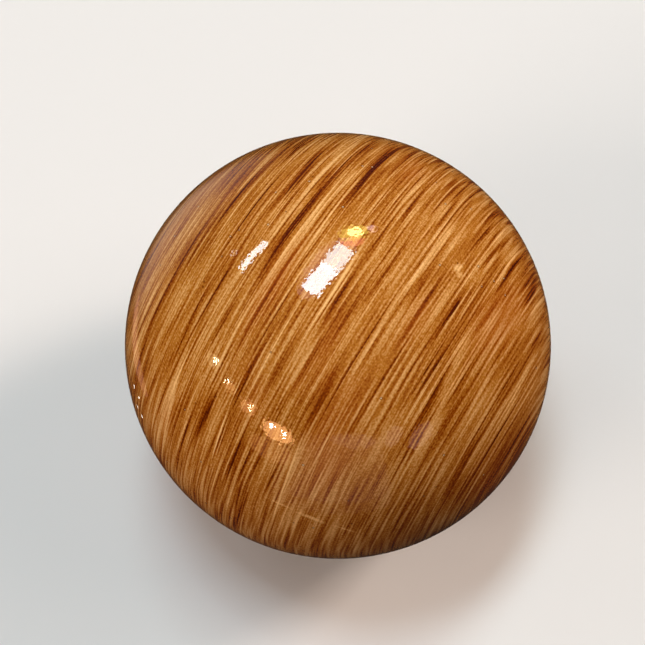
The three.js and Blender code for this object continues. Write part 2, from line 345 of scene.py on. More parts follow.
def finish(piece, material, body, node):
    """Gives a piece its material and shading, and hangs it on its body in place of a CAD node."""
    piece.data.materials.clear()
    piece.data.materials.append(material)
    piece.data.name = piece.name
    piece.data.shade_smooth()
    piece.data.set_sharp_from_angle(angle=CREASE)
    weigh = piece.modifiers.new("flats stay flat", "WEIGHTED_NORMAL")
    weigh.keep_sharp = True
    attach(piece, body)
    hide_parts(node)


# ---- Materials ----


def add(tree, kind, inputs=None, **settings):
    """Adds a shader node with its settings. An input takes a value, a socket or a node, which
    stands for its first output."""
    made = tree.nodes.new("ShaderNode" + kind)
    for name, value in settings.items():
        setattr(made, name, value)
    for key, value in (inputs or {}).items():
        if isinstance(value, bpy.types.Node):
            value = value.outputs[0]
        if isinstance(value, bpy.types.NodeSocket):
            tree.links.new(value, made.inputs[key])
        else:
            made.inputs[key].default_value = value
    return made


SMOOTH = {"interpolation_type": "SMOOTHSTEP"}


def new_material(name):
    """An empty material, its node tree and the piece's own coordinates in metres."""
    material = bpy.data.materials.new(name)
    material.use_nodes = True
    tree = material.node_tree
    tree.nodes.clear()
    return material, tree, add(tree, "TexCoord").outputs["Object"]


def set_ramp(ramp, stops):
    """Gives a colour ramp its (position, colour) stops."""
    elements = ramp.color_ramp.elements
    while len(elements) < len(stops):
        elements.new(1.0)
    for element, (position, colour) in zip(elements, stops):
        element.position, element.color = position, colour


# The blank was cut so that its layers stand almost upright across the ball: this turns X across
# the layers, Y along the fibres and Z through the plank
GRAIN_TURN = (math.radians(20.7), math.radians(3.7), math.radians(-30.8))
# Size in mm of one step of the pattern across, along and through the layers, and its share in
# the tone
GRAIN_LAYERS = (
    ("growth bands", (5.0, 150.0, 110.0), 0.06),
    ("streaks", (1.7, 50.0, 35.0), 0.08),
    ("lines", (0.8, 27.0, 20.0), 0.15),
    ("hair lines", (0.42, 16.0, 11.0), 0.43),
    ("fine hair lines", (0.26, 10.0, 7.0), 0.70),
    ("pores", (0.25, 0.32, 0.25), 0.38),
)
# Thin lines that follow where a slow noise passes its middle: its seed, its step in mm across the
# layers and the lines' share in the tone
THIN_LINES = (
    (11, 1.3, 0.20),
    (13, 1.5, -0.19),
    (17, 0.8, 0.14),
    (19, 0.9, -0.13),
)
# Slow noises that push the layers aside: seed, step sizes in mm, and reach in mm
WANDERS = (
    (31, (30, 60, 50), 1.6),
    (37, (3, 9, 7), 0.16),
)
SEED_STEP = (7.3, 11.9, 5.1)  # how far each seed moves a noise, in its own steps
THROUGH = 1000  # a mark's reach through the plank in mm: it goes all the way
# Marks laid one by one. In the grain's own mm: across and along at the middle, half width and
# half length. Then the lean in degrees and the strength in the tone
DARK_MARKS_AND_SHADE = (
    (-20, 17, 8, 15, 0, 0.13),
    # A broad soft patch of painted shade: it darkens the wood where the camera sees the ball's lower
    # right, where the ball turns from the light
    (31, -4, 7, 16, 0, 0.16),
    (-9.2, 14, 0.50, 19, 2.1, 0.42),
    (-9.4, 17, 0.16, 14, 2, 0.30),
    (-8.9, 11, 0.14, 12, 2.2, 0.30),
    (-5.3, 23, 0.44, 12, 1.5, 0.34),
    (-5.1, 22, 0.15, 9, 1.6, 0.28),
    (1.4, 6, 0.40, 6.5, 0.5, 0.26),
    (-6.8, 4, 0.40, 12, 0.5, 0.33),
    (-13.9, 17, 0.13, 9, -1, 0.30),
    (-13.3, 19, 0.18, 10, -1, 0.36),
    (-12.8, 16, 0.12, 8, -1, 0.30),
    (-11.9, 17, 0.15, 10, 0, 0.34),
    (-11.3, 16, 0.14, 9, 0, 0.34),
    (-10.5, 14, 0.12, 11, 0.5, 0.26),
    (-7.5, 16, 0.13, 12, 1, 0.28),
    (-6.2, 20, 0.13, 9, 1.2, 0.28),
    (-16.2, 12, 0.14, 10, -0.5, 0.24),
    (-19.6, 11, 0.30, 9, 0, 0.28),
    (-21.8, 3, 0.25, 12, 0, 0.25),
    (-14.8, -12, 0.25, 12, -3, 0.28),
    (-6.9, -17.5, 0.80, 5, -2, 0.28),
    (1, -18, 0.35, 6, -3, 0.30),
    (18.1, 20.5, 0.35, 5.5, -1, 0.43),
    (14.7, 12.5, 0.28, 1.8, 0, 0.38),
    (18.4, -1, 0.30, 9, -1, 0.38),
    (19.5, -4, 0.30, 7, -1, 0.33),
    (20.4, 4, 0.22, 7, 0, 0.33),
    (22, 20.5, 0.70, 3, 0, 0.30),
)
PALE_MARKS = (
    (-8, 14, 0.22, 16, 1, 0.28),
    (-12.3, 17, 0.16, 11, 0, 0.33),
    (-10.8, 12, 0.16, 12, 0, 0.22),
    (-3.9, -17, 0.16, 13, -3.6, 0.38),
    (-3.3, -19, 0.13, 11, -3.6, 0.28),
    (6.9, -19, 0.20, 11, -4.5, 0.43),
    (9.6, -17, 0.16, 10, -3, 0.30),
    (4.6, -19, 0.15, 8, -3, 0.28),
    (-12.4, -20, 0.45, 9, -5, 0.25),
    (-9.5, -18, 0.65, 10, -4, 0.20),
    (12.1, 17.6, 0.75, 1.15, 20, 0.34),
    (12.9, 16.9, 0.60, 0.70, 0, 0.30),
    (7.5, -23, 2.4, 0.20, -7, 0.28),
    (12, -22.5, 2.6, 0.36, -9, 0.38),
    (16.6, -21.6, 2, 0.20, -11, 0.28),
)
RED_MARKS = (
    (20.5, 15, 4.5, 9, 0, 0.24),
    (-7, 2, 2.5, 12, 0, 0.20),
)


def laid_noise(tree, place, size, seed, detail=0.0):
    """Noise whose steps have a size along each axis. The seed moves it to another part."""
    laid = add(tree, "Mapping", {
        "Vector": place, "Location": [seed * step for step in SEED_STEP], "Scale": size,
    }, vector_type="TEXTURE")
    return add(tree, "TexNoise", {"Vector": laid, "Scale": 1.0, "Detail": detail})


def add_marks(tree, place, value, marks, sign):
    """Adds long soft spots to a value."""
    for across, along, half_width, half_length, lean, strength in marks:
        laid = add(tree, "Mapping", {
            "Vector": place, "Location": (across, along, 0),
            "Rotation": (0, 0, -math.radians(lean)), "Scale": (half_width, half_length, THROUGH),
        }, vector_type="TEXTURE")
        reach = add(tree, "VectorMath", {0: laid}, operation="LENGTH")
        spot = add(tree, "MapRange", {
            "Value": reach.outputs["Value"], "From Min": 1.0, "From Max": 0.15,
            "To Min": 0.0, "To Max": sign * strength,
        }, **SMOOTH)
        value = add(tree, "Math", {0: value, 1: spot}, operation="ADD")
    return value


def add_thin_lines(tree, grain, bent, tone):
    """Adds thin lines to a tone. They run along the fibres and come and go in groups."""
    for seed, step, strength in THIN_LINES:
        slow = laid_noise(tree, bent, (step, 110, 70), seed)
        off = add(tree, "Math", {0: slow, 1: 0.5}, operation="SUBTRACT")
        off = add(tree, "Math", {0: off}, operation="ABSOLUTE")
        thin = add(tree, "MapRange", {
            "Value": off, "From Min": 0.045, "From Max": 0.01, "To Min": 0.0, "To Max": strength,
        }, **SMOOTH)
        group = add(tree, "MapRange", {
            "Value": laid_noise(tree, grain, (5, 30, 20), seed + 1),
            "From Min": 0.42, "From Max": 0.58,
        }, **SMOOTH)
        tone = add(tree, "Math", {0: thin, 1: group, 2: tone}, operation="MULTIPLY_ADD")
    return tone


def lacquered_hardwood(settings):
    """Turned hardwood with straight streaky grain, stained orange-brown and sprayed with several
    coats of clear gloss lacquer: long crisp lines under a wet-looking, faintly rippled surface."""
    material, tree, place = new_material("turned_hardwood_gloss_lacquer")
    grain = add(tree, "Mapping", {
        "Vector": place, "Location": BALL_CENTRE, "Rotation": GRAIN_TURN, "Scale": (MM, MM, MM),
    }, vector_type="TEXTURE")

    # A tree doesn't grow quite straight: the layers wander slowly by up to half a millimetre,
    # and each line wavers by a few hundredths
    aside = -sum(reach for _, _, reach in WANDERS) / 2
    for seed, size, reach in WANDERS:
        wander = laid_noise(tree, grain, size, seed)
        aside = add(tree, "Math", {0: wander, 1: reach, 2: aside}, operation="MULTIPLY_ADD")
    shift = add(tree, "CombineXYZ", {"X": aside})
    bent = add(tree, "VectorMath", {0: grain, 1: shift}, operation="ADD")

    tone = 0.5 - sum(share for _, _, share in GRAIN_LAYERS) / 2
    for seed, (_, size, share) in enumerate(GRAIN_LAYERS):
        layer = laid_noise(tree, bent, size, seed)
        tone = add(tree, "Math", {0: layer, 1: share, 2: tone}, operation="MULTIPLY_ADD")
    tone = add_thin_lines(tree, grain, bent, tone)

    # One side of the plank is figured: short flecks break its lines up
    fleck = laid_noise(tree, bent, (0.9, 9, 7), 23, 1.0)
    fleck = add(tree, "Math", {0: fleck, 1: 0.5}, operation="SUBTRACT")
    figured = add(tree, "MapRange", {
        "Value": add(tree, "SeparateXYZ", {0: grain}), "From Min": 2.0, "From Max": 18.0,
        "To Min": 0.0, "To Max": 0.30,
    }, **SMOOTH)
    tone = add(tree, "Math", {0: fleck, 1: figured, 2: tone}, operation="MULTIPLY_ADD")
    # Dark grain marks, and one broad patch of painted shade
    tone = add_marks(tree, bent, tone, DARK_MARKS_AND_SHADE, -1)
    tone = add_marks(tree, bent, tone, PALE_MARKS, 1)

    stained = add(tree, "ValToRGB", {"Fac": tone})
    set_ramp(stained, (
        (0.04, settings.dark[:]),
        (0.27, settings.brown[:]),
        (0.50, settings.middle[:]),
        (0.98, settings.pale[:]),
    ))
    red_share = add(tree, "MapRange", {
        "Value": laid_noise(tree, grain, (9, 26, 20), 29, 2.0), "From Min": 0.52, "From Max": 0.75,
        "To Min": 0.0, "To Max": 0.22,
    }, **SMOOTH)
    red_share = add_marks(tree, grain, red_share, RED_MARKS, 1)
    wood = add(tree, "Mix", {
        0: red_share, 6: stained, 7: settings.red[:],
    }, data_type="RGBA")

    # Dust that settled in the wet lacquer, one every few millimetres: pale specks, drawn bright as
    # painted highlights, each in a dark rim of painted shade
    cells = add(tree, "TexVoronoi", {"Vector": place, "Scale": 1 / (3.0 * MM)})
    nib = add(tree, "MapRange", {
        "Value": cells, "From Min": 0.05, "From Max": 0.02,
    }, **SMOOTH)
    # A dark ring of painted shade round each speck, in the stained pores' colour
    painted_shade_rim_share = add(tree, "MapRange", {
        "Value": cells, "From Min": 0.085, "From Max": 0.06, "To Min": 0.0, "To Max": 0.6,
    }, **SMOOTH)
    # Pale dust, brightened into a painted highlight
    dust_and_highlight_share = add(tree, "Math", {0: nib, 1: 0.9}, operation="MULTIPLY")
    for share, colour in ((painted_shade_rim_share, settings.dark), (dust_and_highlight_share, settings.speck)):
        wood = add(tree, "Mix", {
            0: share, 6: wood.outputs[2], 7: colour[:],
        }, data_type="RGBA")

    # Orange peel: ripples of about 1.6 mm with finer ones of 0.4 mm and the dust on them
    peel = add(tree, "TexNoise", {"Vector": place, "Scale": 1 / (1.6 * MM), "Detail": 0.0})
    fine = add(tree, "TexNoise", {"Vector": place, "Scale": 1 / (0.4 * MM), "Detail": 0.0})
    dusty = add(tree, "Math", {0: nib, 1: 1.2, 2: fine}, operation="MULTIPLY_ADD")
    ripple = add(tree, "Bump", {"Height": peel, "Distance": settings.orange_peel})
    grit = add(tree, "Bump", {
        "Height": dusty, "Distance": settings.dust, "Normal": ripple,
    })
    shader = add(tree, "BsdfPrincipled", {
        "Base Color": wood.outputs[2], "Roughness": 0.5, "IOR": 1.45, "Specular IOR Level": 0.0,
        "Coat Weight": 1.0, "Coat Roughness": settings.lacquer_roughness, "Coat IOR": 1.5,
        "Coat Normal": grit,
    })
    add(tree, "OutputMaterial", {"Surface": shader})
    return material


def moulded_rubber(settings):
    """Soft compression-moulded rubber with a ground face: matt black with a fine even tooth."""
    material, tree, place = new_material("moulded_soft_rubber")
    # The grit leaves a tooth of about 0.05 mm, which is drawn five times as coarse to show
    tooth = add(tree, "TexNoise", {"Vector": place, "Scale": 1 / (0.25 * MM), "Detail": 2.0})
    cloud = add(tree, "TexNoise", {"Vector": place, "Scale": 1 / (6 * MM), "Detail": 3.0})
    tone = add(tree, "MapRange", {
        "Value": cloud, "From Min": 0.3, "From Max": 0.7, "To Min": 0.8, "To Max": 1.35,
    })
    colour = add(tree, "VectorMath", {
        0: settings.rubber[:3], "Scale": tone,
    }, operation="SCALE")
    dull = add(tree, "MapRange", {
        "Value": cloud, "From Min": 0.3, "From Max": 0.7, "To Min": 0.58, "To Max": 0.74,
    })
    shader = add(tree, "BsdfPrincipled", {
        "Base Color": colour, "Roughness": dull, "IOR": 1.52,
        "Normal": add(tree, "Bump", {"Height": tooth, "Distance": 0.03 * MM}),
    })
    add(tree, "OutputMaterial", {"Surface": shader})
    return material


def turned_metal(name, colour, roughness, line_pitch, line_height):
    """Metal from the lathe: rings about the axis that catch the light as thin lines.

    A fine cut leaves rings of 0.05 to 0.1 mm, and they are drawn up to three times as coarse.
    """
    material, tree, place = new_material(name)
    parts = add(tree, "SeparateXYZ", {0: place})
    flat = add(tree, "CombineXYZ", {"X": parts.outputs["X"], "Y": parts.outputs["Y"]})
    radius = add(tree, "VectorMath", {0: flat}, operation="LENGTH")
    feed = add(tree, "CombineXYZ", {
        "X": radius.outputs["Value"], "Y": parts.outputs["Z"],
    })
    rings = add(tree, "TexNoise", {"Vector": feed, "Scale": 1 / line_pitch, "Detail": 2.0})
    smear = add(tree, "TexNoise", {"Vector": place, "Scale": 1 / (5 * MM), "Detail": 4.0})
    both = add(tree, "Math", {0: rings, 1: smear}, operation="MULTIPLY")
    gloss = add(tree, "MapRange", {
        "Value": both, "From Min": 0.12, "From Max": 0.42,
        "To Min": roughness * 0.75, "To Max": roughness * 1.35,
    })
    tint = add(tree, "MapRange", {
        "Value": smear, "From Min": 0.3, "From Max": 0.7, "To Min": 0.86, "To Max": 1.04,
    })
    shade = add(tree, "VectorMath", {0: colour[:3], "Scale": tint}, operation="SCALE")
    shader = add(tree, "BsdfPrincipled", {
        "Base Color": shade, "Metallic": 1.0, "Roughness": gloss,
        "Normal": add(tree, "Bump", {"Height": rings, "Distance": line_height}),
    })
    add(tree, "OutputMaterial", {"Surface": shader})
    return material


# ---- Operators, one for each piece or group of like pieces ----


class FRICTIONBALL_OT_grip(bpy.types.Operator):
    """Turn the wooden ball with the pocket for the cup and the hole for the insert"""

    bl_idname = "frictionball.grip"
    bl_label = "Wooden ball"

    def execute(self, context):
        grip, cup = context.scene.friction_grip, context.scene.friction_cup
        fixings = context.scene.friction_fixings
        seat, top = GRIP.bottom, GRIP.top
        spigot_top = CUP.bottom + cup.socket_depth + cup.spigot_height + grip.clearance
        boss_top = CUP.top + grip.clearance
        bore = INSERT.radius + fixings.clearance
        bore_top = INSERT.top + grip.drill_run_out
        outline = [
            (0, bore_top + bore * math.tan(DRILL_POINT)),
            (bore, bore_top),
            (bore, boss_top),
            (cup.boss_radius + grip.clearance, boss_top),
            (cup.boss_radius + grip.clearance, spigot_top),
            (cup.spigot_radius + grip.clearance, spigot_top),
            (cup.spigot_radius + grip.clearance, seat, grip.clearance),
            (outline_radius(seat), seat, grip.edge_round),
            *arc(BALL_CENTRE.z, BALL_RADIUS, seat + 2 * grip.edge_round, top, 100)[:-1],
            (0, top),
        ]
        piece = as_object("lacquered_ball", turn(outline, grip.segments))
        hole = PINS[0].radius + fixings.pin_clearance
        drills = pin_drills(hole, spigot_top - MM, PINS[0].top + grip.clearance)
        shape(piece, "DIFFERENCE", *drills)
        finish(piece, lacquered_hardwood(grip), "handle", "ball_grip")
        return {"FINISHED"}


class FRICTIONBALL_OT_pad(bpy.types.Operator):
    """Mould the rubber pad with its dish, air grooves, ribs and pin holes"""

    bl_idname = "frictionball.pad"
    bl_label = "Rubber pad"

    def execute(self, context):
        pad = context.scene.friction_pad_piece
        shoulder, plug_top = CUP.bottom, PAD.top
        dish_curve = (pad.dish_radius**2 + pad.dish_depth**2) / (2 * pad.dish_depth)
        dish = arc(pad.dish_depth - dish_curve, dish_curve, pad.dish_depth, 0, 12)
        outline = [(0, pad.dish_depth), *dish[1:]]
        half = pad.groove_width / 2
        mouth_round, floor_round = 0.15 * MM, 0.12 * MM
        for middle in (pad.inner_groove, pad.outer_groove):
            outline += [
                (middle - half, 0, mouth_round),
                (middle - half / 2, pad.groove_depth, floor_round),
                (middle + half / 2, pad.groove_depth, floor_round),
                (middle + half, 0, mouth_round),
            ]
        lip = 0.3 * MM
        outline += [
            (pad.face_radius, 0, pad.edge_round),
            *arc(BALL_CENTRE.z, BALL_RADIUS, 1.3 * pad.edge_round, shoulder - 2 * lip, 8),
            (outline_radius(shoulder), shoulder, lip),
            (pad.plug_radius, shoulder, 0.25 * MM),
        ]
        for rib in (shoulder + pad.first_rib, shoulder + pad.second_rib):
            outline += [
                (pad.plug_radius, rib - pad.rib_half_width),
                (pad.plug_radius + pad.rib_height, rib, 0.15 * MM),
                (pad.plug_radius, rib + pad.rib_half_width),
            ]
        outline += [(pad.plug_radius, plug_top, 0.5 * MM), (0, plug_top)]
        piece = as_object("rubber_pad", turn(outline, ROUND_STEPS))
        pin, gap = PINS[0], pad.pin_clearance
        shape(piece, "DIFFERENCE", *pin_drills(pin.radius + gap, pin.bottom - gap, plug_top + MM))
        finish(piece, moulded_rubber(pad), "pad", "friction_pad")
        return {"FINISHED"}


class FRICTIONBALL_OT_cup(bpy.types.Operator):
    """Turn the aluminium cup with its rim, spigot, boss, socket and screw pocket"""

    bl_idname = "frictionball.cup"
    bl_label = "Aluminium cup"

    def execute(self, context):
        cup, fixings = context.scene.friction_cup, context.scene.friction_fixings
        rim, seat, edge = CUP.bottom, GRIP.bottom, cup.edge_break
        socket_top = rim + cup.socket_depth
        spigot_top = socket_top + cup.spigot_height
        screw_seat = WASHER.top
        outline = [
            (cup.socket_radius, rim, edge),
            (outline_radius(rim), rim, edge),
            *arc(BALL_CENTRE.z, BALL_RADIUS, rim + 2 * edge, seat - 2 * edge, 6),
            (outline_radius(seat), seat, edge),
            (cup.spigot_radius, seat),
            (cup.spigot_radius, spigot_top, edge),
            (cup.boss_radius, spigot_top),
            (cup.boss_radius, CUP.top, edge),
            (cup.screw_hole, CUP.top, edge),
            (cup.screw_hole, screw_seat),
            (cup.screw_pocket, screw_seat),
            (cup.screw_pocket, socket_top, edge),
            (cup.socket_radius, socket_top, edge),
        ]
        piece = as_object("turned_cup", turn(outline, ROUND_STEPS, ring=True))
        hole = PINS[0].radius + fixings.pin_clearance
        shape(piece, "DIFFERENCE", *pin_drills(hole, socket_top - MM, spigot_top + MM))
        # Clear anodising over fine turning: a silky grey with thin rings
        metal = turned_metal(
            "turned_anodised_aluminium", cup.aluminium,
            roughness=0.28, line_pitch=0.16 * MM, line_height=0.004 * MM,
        )
        finish(piece, metal, "handle", "pad_cup")
        return {"FINISHED"}


class FRICTIONBALL_OT_screw(bpy.types.Operator):
    """Make the pan-head screw with its cross recess and right-hand thread"""

    bl_idname = "frictionball.screw"
    bl_label = "Screw"

    def execute(self, context):
        fixings = context.scene.friction_fixings
        crest, root = fixings.thread_radius, fixings.thread_radius - fixings.thread_depth
        under_head, plain_end = WASHER.bottom, INSERT.bottom - fixings.pitch
        rod = threaded_rod(crest, root, fixings.pitch, plain_end, SCREW.top)
        piece = as_object("pan_head_screw", rod)
        envelope = turn([
            (0, plain_end), (crest, plain_end), (crest, SCREW.top, 0.5 * MM), (0, SCREW.top),
        ], 32)
        shape(piece, "INTERSECT", as_object("envelope", envelope))
        pan_round = 0.8 * MM
        face_radius, wall_start = SCREW.radius - 1.2 * MM, SCREW.bottom + 1.3 * MM
        shank_top = plain_end + 0.3 * MM
        head = turn([
            (0, SCREW.bottom),
            (face_radius, SCREW.bottom, pan_round),
            (SCREW.radius, wall_start, pan_round),
            (SCREW.radius, under_head, 0.1 * MM),
            (crest, under_head, 0.15 * MM),
            (crest, shank_top),
            (0, shank_top),
        ], 64)
        shape(piece, "UNION", as_object("head", head))
        arm_size = (fixings.recess_length, fixings.recess_width, 2 * fixings.recess_depth)
        arms = []
        for turned in (0, math.pi / 2):
            arm = block(arm_size, (0, 0, SCREW.bottom), turned)
            # The recess is half as wide at its bottom
            deep = [v for v in arm.verts if v.co.z > SCREW.bottom]
            bmesh.ops.scale(arm, vec=(0.5, 0.5, 1), verts=deep)
            arms.append(as_object("arm", arm))
        shape(piece, "DIFFERENCE", *arms)
        # Bright zinc plating on rolled and headed steel: cool grey, nearly smooth
        zinc = turned_metal(
            "zinc_plated_steel", fixings.steel,
            roughness=0.24, line_pitch=0.3 * MM, line_height=0.002 * MM,
        )
        finish(piece, zinc, "handle", "cup_screw")
        return {"FINISHED"}


class FRICTIONBALL_OT_washer(bpy.types.Operator):
    """Make the split spring washer with its slanting cut"""

    bl_idname = "frictionball.washer"
    bl_label = "Spring washer"

    def execute(self, context):
        fixings = context.scene.friction_fixings
        edge_round, past = 0.15 * MM, 4 * MM
        outline = [
            (fixings.washer_bore, WASHER.bottom, edge_round),
            (WASHER.radius, WASHER.bottom, edge_round),
            (WASHER.radius, WASHER.top, edge_round),
            (fixings.washer_bore, WASHER.top, edge_round),
        ]
        piece = as_object("split_washer", turn(outline, 96, ring=True))
        cut = block((fixings.washer_gap, past, past), (0, 0, 0))
        slant = Matrix.Rotation(fixings.washer_slant, 3, "Y")
        bmesh.ops.rotate(cut, cent=(0, 0, 0), matrix=slant, verts=cut.verts[:])
        middle = (0, (fixings.washer_bore + WASHER.radius) / 2, WASHER.middle.z)
        bmesh.ops.translate(cut, vec=middle, verts=cut.verts[:])
        shape(piece, "DIFFERENCE", as_object("cut", cut))
        # Barrel-plated spring wire: a duller zinc with faint drawing lines
        zinc = turned_metal(
            "zinc_plated_spring_steel", fixings.steel,
            roughness=0.34, line_pitch=0.2 * MM, line_height=0.003 * MM,
        )
        finish(piece, zinc, "handle", "spring_washer")
        return {"FINISHED"}


class FRICTIONBALL_OT_insert(bpy.types.Operator):
    """Make the brass insert with a coarse outer thread, a fine inner one and a driver slot"""

    bl_idname = "frictionball.insert"
    bl_label = "Threaded insert"

    def execute(self, context):
        fixings = context.scene.friction_fixings
        crest, root = INSERT.radius, INSERT.radius - fixings.wood_depth
        bottom, top, lead = INSERT.bottom, INSERT.top, 1.5 * MM
        rod = threaded_rod(crest, root, fixings.wood_pitch, bottom, top, segments=64)
        piece = as_object("brass_insert", rod)
        envelope = turn([
            (0, bottom),
            (crest, bottom, 0.3 * MM),
            (crest, top - lead),
            (root, top, 0.2 * MM),
            (0, top),
        ], 64)
        shape(piece, "INTERSECT", as_object("envelope", envelope))
        inner_crest = fixings.thread_radius + fixings.clearance
        inner_root = inner_crest - fixings.thread_depth
        pitch = fixings.pitch
        tap = threaded_rod(inner_crest, inner_root, pitch, bottom - pitch, top + pitch)
        slot_size = (3 * crest, fixings.slot_width, 2 * fixings.slot_depth)
        slot = block(slot_size, (0, 0, bottom))
        shape(piece, "DIFFERENCE", as_object("tap", tap), as_object("slot", slot))
        # Free-cutting brass straight from the lathe: warm yellow with clear rings
        brass = turned_metal(
            "machined_brass", fixings.brass,
            roughness=0.27, line_pitch=0.2 * MM, line_height=0.004 * MM,
        )
        finish(piece, brass, "handle", "thread_insert")
        return {"FINISHED"}


class FRICTIONBALL_OT_pins(bpy.types.Operator):
    """Make the ground dowel pins that carry the twist"""

    bl_idname = "frictionball.pins"
    bl_label = "Dowel pins"

    def execute(self, context):
        fixings = context.scene.friction_fixings
        # Hardened and ground steel: a bright, slightly warm grey with almost no lines
        ground = turned_metal(
            "ground_tool_steel", fixings.pin_steel,
            roughness=0.2, line_pitch=0.12 * MM, line_height=0.0015 * MM,
        )
        inset, lead, end_round, lead_round = 0.3 * MM, 0.5 * MM, 0.1 * MM, 0.2 * MM
        for number, (pin, node) in enumerate(zip(PINS, PIN_NODES), start=1):
            bm = turn([
                (0, pin.bottom),
                (pin.radius - inset, pin.bottom, end_round),
                (pin.radius, pin.bottom + lead, lead_round),
                (pin.radius, pin.top - lead, lead_round),
                (pin.radius - inset, pin.top, end_round),
                (0, pin.top),
            ], 48)
            bmesh.ops.translate(bm, vec=(pin.middle.x, pin.middle.y, 0), verts=bm.verts[:])
            finish(as_object(f"dowel_pin_{number}", bm), ground, "handle", node)
        return {"FINISHED"}


# ---- Stage ----

# Lamps, told by where the camera sees them mirrored in the ball: the two ends of the reflection
# and its width, in ball radii right of and above its middle. Then radiance and colour
SQUARE_LAMPS = (
    ("ceiling panel", (-0.137, 0.25), (-0.045, 0.365), 0.092, 21, "#e0f5ff"),
    ("ceiling panel far half", (-0.055, 0.352), (0.032, 0.461), 0.088, 16, "#daf4f6"),
    ("far ceiling panel", (-0.461, 0.348), (-0.349, 0.475), 0.042, 17, "#e0f5ff"),
    ("pale wall", (0.03, -0.43), (0.02, -0.74), 0.29, 0.19, "#ffdcd0"),
    ("pale wall door", (-0.01, -0.47), (-0.02, -0.79), 0.32, 0.12, "#ffdcd0"),
)
ROUND_LAMPS = (
    ("ceiling glow", (-0.175, 0.215), (0.06, 0.5), 0.14, 1.6, "#ffd4d8"),
    ("warm lamp", (0.036, 0.524), (0.104, 0.541), 0.042, 19, "#fff6a0"),
    ("warm lamp shade", (0, 0.508), (0.128, 0.549), 0.082, 5.5, "#f4e468"),
    ("rose lamp", (0.13, 0.545), (0.165, 0.56), 0.034, 6, "#ffd8d0"),
    ("orange lamp", (0.005, 0.47), (0.115, 0.498), 0.06, 5.5, "#ff9474"),
    ("side lamp", (-0.51, 0.415), (-0.48, 0.435), 0.02, 6, "#fff0e0"),
    ("shelf light 1", (-0.577, -0.08), (-0.563, -0.09), 0.02, 55, "#fff4c8"),
    ("shelf light 2", (-0.517, -0.175), (-0.503, -0.185), 0.02, 55, "#fff4c8"),
    ("shelf light 3", (-0.411, -0.294), (-0.395, -0.306), 0.022, 55, "#fff0c4"),
    ("shelf light 4", (-0.308, -0.38), (-0.292, -0.388), 0.02, 100, "#fff8ee"),
    ("shelf light 5", (-0.249, -0.421), (-0.233, -0.429), 0.02, 100, "#fff8ee"),
    ("shelf glow 1", (-0.345, -0.37), (-0.2, -0.455), 0.095, 9, "#ffb674"),
    ("shelf glow 2", (-0.445, -0.27), (-0.38, -0.325), 0.075, 4.6, "#ffb674"),
    ("shelf glow 3", (-0.52, -0.19), (-0.478, -0.225), 0.05, 3.6, "#ffb674"),
    ("shelf glow 4", (-0.605, -0.06), (-0.56, -0.12), 0.05, 2.4, "#ffd890"),
    ("shelf glow 5", (-0.4, -0.44), (-0.2, -0.54), 0.14, 1.3, "#ffae70"),
    ("pale wall top", (-0.02, -0.435), (0.19, -0.45), 0.08, 0.5, "#ffdcd0"),
    ("pale wall step 1", (0.235, -0.415), (0.305, -0.425), 0.1, 0.95, "#ffd8c8"),
    ("pale wall step 2", (0.365, -0.4), (0.435, -0.43), 0.11, 0.95, "#ffd8c8"),
    ("left board", (-0.94, 0.22), (-0.89, -0.25), 0.15, 0.62, "#ffb890"),
    ("edge light 1", (-0.952, -0.215), (-0.949, -0.22), 0.004, 9, "#fff8e8"),
    ("edge light 2", (-0.93, -0.262), (-0.927, -0.267), 0.004, 9, "#fff8e8"),
    ("edge light 3", (-0.935, -0.305), (-0.932, -0.31), 0.005, 9, "#fff8e8"),
    ("edge light 4", (-0.912, -0.352), (-0.909, -0.357), 0.004, 9, "#fff8e8"),
)
# Soft lamps that give light only, and are kept out of every reflection
FILLS = (
    ("left front fill", (-0.45, -0.3), (-0.45, -0.02), 0.35, 5.5, "#ffecdc"),
    ("left fill", (-0.6, 0.05), (-0.6, 0.25), 0.2, 2.9, "#ffecdc"),
    ("right fill", (0.44, 0.11), (0.44, 0.37), 0.3, 2, "#ffecdc"),
    ("far right fill", (0.45, 0.42), (0.55, 0.3), 0.25, 22, "#ffecdc"),
)
LAMP_DISTANCE = 6.0
# How far the picture's middle lies left of the ball's middle and above it, in ball radii
AIM_LEFT, AIM_ABOVE = 0.074, 0.1065
# Where the room is pale: overhead, and low behind the ball on its left
OVERHEAD = Vector((0.0, 0.45, 0.90)).normalized()
PALE_SIDE = Vector((-0.62, 0.69, -0.37)).normalized()


class Eye:
    """The camera's place and the directions right, up and back from it."""

    def __init__(self, studio):
        rise = studio.elevation
        self.right = Vector((1, 0, 0))
        self.up = Vector((0, math.sin(rise), math.cos(rise)))
        self.back = Vector((0, -math.cos(rise), math.sin(rise)))
        self.place = BALL_CENTRE + self.back * studio.distance
        self.spread = BALL_RADIUS / math.sqrt(studio.distance**2 - BALL_RADIUS**2)

    def mirrored(self, across, above):
        """The point of the ball seen there, and the direction in which the lacquer mirrors it."""
        ray = (self.right * across + self.up * above) * self.spread - self.back
        ray.normalize()
        start = self.place - BALL_CENTRE
        nearest = -start.dot(ray)
        half_chord = math.sqrt(nearest**2 - start.length_squared + BALL_RADIUS**2)
        normal = (start + ray * (nearest - half_chord)).normalized()
        return BALL_CENTRE + normal * BALL_RADIUS, ray.reflect(normal)


